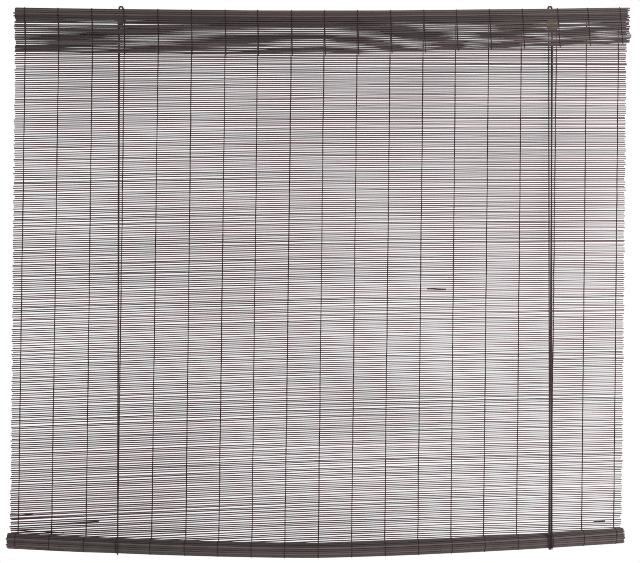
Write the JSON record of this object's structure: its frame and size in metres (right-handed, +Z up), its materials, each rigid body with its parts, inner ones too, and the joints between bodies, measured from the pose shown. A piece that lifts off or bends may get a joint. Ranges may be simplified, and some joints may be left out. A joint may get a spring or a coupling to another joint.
{
  "type": "roll-up bamboo blind",
  "caption": "Woven bamboo window blind that rolls up from the foot on cords, with headrail, front flap, pulley and cord lock.",
  "frame": {"origin": "midway between the two hanger holes, on the wall plane at the hangers' rear faces", "axes": "+X to the right along the blind seen from the room, +Y into the wall, +Z up"},
  "size_m": [1.8249, 0.0571, 1.6241],
  "materials": {
    "stained_bamboo": "dark brown stained bamboo slats, satin",
    "stained_batten": "dark stained softwood batten, matt",
    "warp_yarn": "dark red-brown twisted yarn",
    "cord": "black-brown braided cord",
    "black_steel": "black painted pressed steel",
    "bright_steel": "plain steel pins and staples",
    "brass": "brass-plated pressed sheet, dulled",
    "cam_brass": "cast brass, toothed",
    "sheave_plastic": "off-white moulded sheave"
  },
  "bodies": {
    "headrail_body": {"headrail": "stained_batten", "headrail_slats": "stained_bamboo", "hanging_slats": "stained_bamboo", "valance_slats": "stained_bamboo", "top_slats": "stained_bamboo", "valance_strings": "warp_yarn", "warp_string_01": "warp_yarn", "warp_string_02": "warp_yarn", "warp_string_03": "warp_yarn", "warp_string_04": "warp_yarn", "warp_string_05": "warp_yarn", "warp_string_06": "warp_yarn", "warp_string_07": "warp_yarn", "warp_string_08": "warp_yarn", "warp_string_09": "warp_yarn", "warp_string_10": "warp_yarn", "warp_string_11": "warp_yarn", "warp_string_12": "warp_yarn", "warp_string_13": "warp_yarn", "warp_string_14": "warp_yarn", "warp_string_15": "warp_yarn", "warp_string_16": "warp_yarn", "warp_string_17": "warp_yarn", "warp_string_18": "warp_yarn", "warp_string_19": "warp_yarn", "hanger_left": "black_steel", "hanger_right": "black_steel", "left_pulley_fork": "black_steel", "left_axle": "bright_steel", "lock_housing": "brass", "lock_axle": "bright_steel", "cam_pin": "bright_steel", "lock_anvil": "bright_steel", "lift_cord_left": "cord", "lift_cord_right": "cord", "pull_cord_front": "cord", "pull_cord_rear": "cord", "crossing_cord": "cord", "lock_cord": "cord", "cord_staples": "bright_steel"},
    "roll_body": {"roll": "stained_bamboo", "bottom_lath": "stained_batten", "pull_cord_knot": "cord"},
    "left_sheave_body": {"left_sheave": "sheave_plastic"},
    "lock_sheave_front_body": {"lock_sheave_front": "sheave_plastic"},
    "lock_sheave_rear_body": {"lock_sheave_rear": "sheave_plastic"},
    "cam_body": {"lock_cam": "cam_brass"}
  },
  "joints": [
    {"name": "roll_lift", "type": "slide", "parent": "headrail_body", "child": "roll_body", "axis": [0, 0, 1], "range_m": [0, 1.37], "deforming": ["hanging_slats", "warp_string_01", "warp_string_02", "warp_string_03", "warp_string_04", "warp_string_05", "warp_string_06", "warp_string_07", "warp_string_08", "warp_string_09", "warp_string_10", "warp_string_11", "warp_string_12", "warp_string_13", "warp_string_14", "warp_string_15", "warp_string_16", "warp_string_17", "warp_string_18", "warp_string_19", "lift_cord_left", "lift_cord_right", "pull_cord_front", "pull_cord_rear"]},
    {"name": "left_sheave_spin", "type": "hinge", "parent": "headrail_body", "child": "left_sheave_body", "pos_m": [-0.633, -0.0147, -0.04797], "axis": [0, 1, 0], "continuous": true},
    {"name": "lock_sheave_front_spin", "type": "hinge", "parent": "headrail_body", "child": "lock_sheave_front_body", "pos_m": [0.631, -0.01735, -0.04747], "axis": [0, 1, 0], "continuous": true},
    {"name": "lock_sheave_rear_spin", "type": "hinge", "parent": "headrail_body", "child": "lock_sheave_rear_body", "pos_m": [0.631, -0.01205, -0.04747], "axis": [0, 1, 0], "continuous": true},
    {"name": "cam_swing", "type": "hinge", "parent": "headrail_body", "child": "cam_body", "pos_m": [0.6465, -0.0147, -0.05697], "axis": [0, -1, 0], "range_deg": [0, 28]}
  ],
  "couplings": [
    {"joint": "left_sheave_spin", "follows": "roll_lift", "rad_per_m": 400},
    {"joint": "lock_sheave_front_spin", "follows": "roll_lift", "rad_per_m": 444.44},
    {"joint": "lock_sheave_rear_spin", "follows": "roll_lift", "rad_per_m": 444.44}
  ]
}
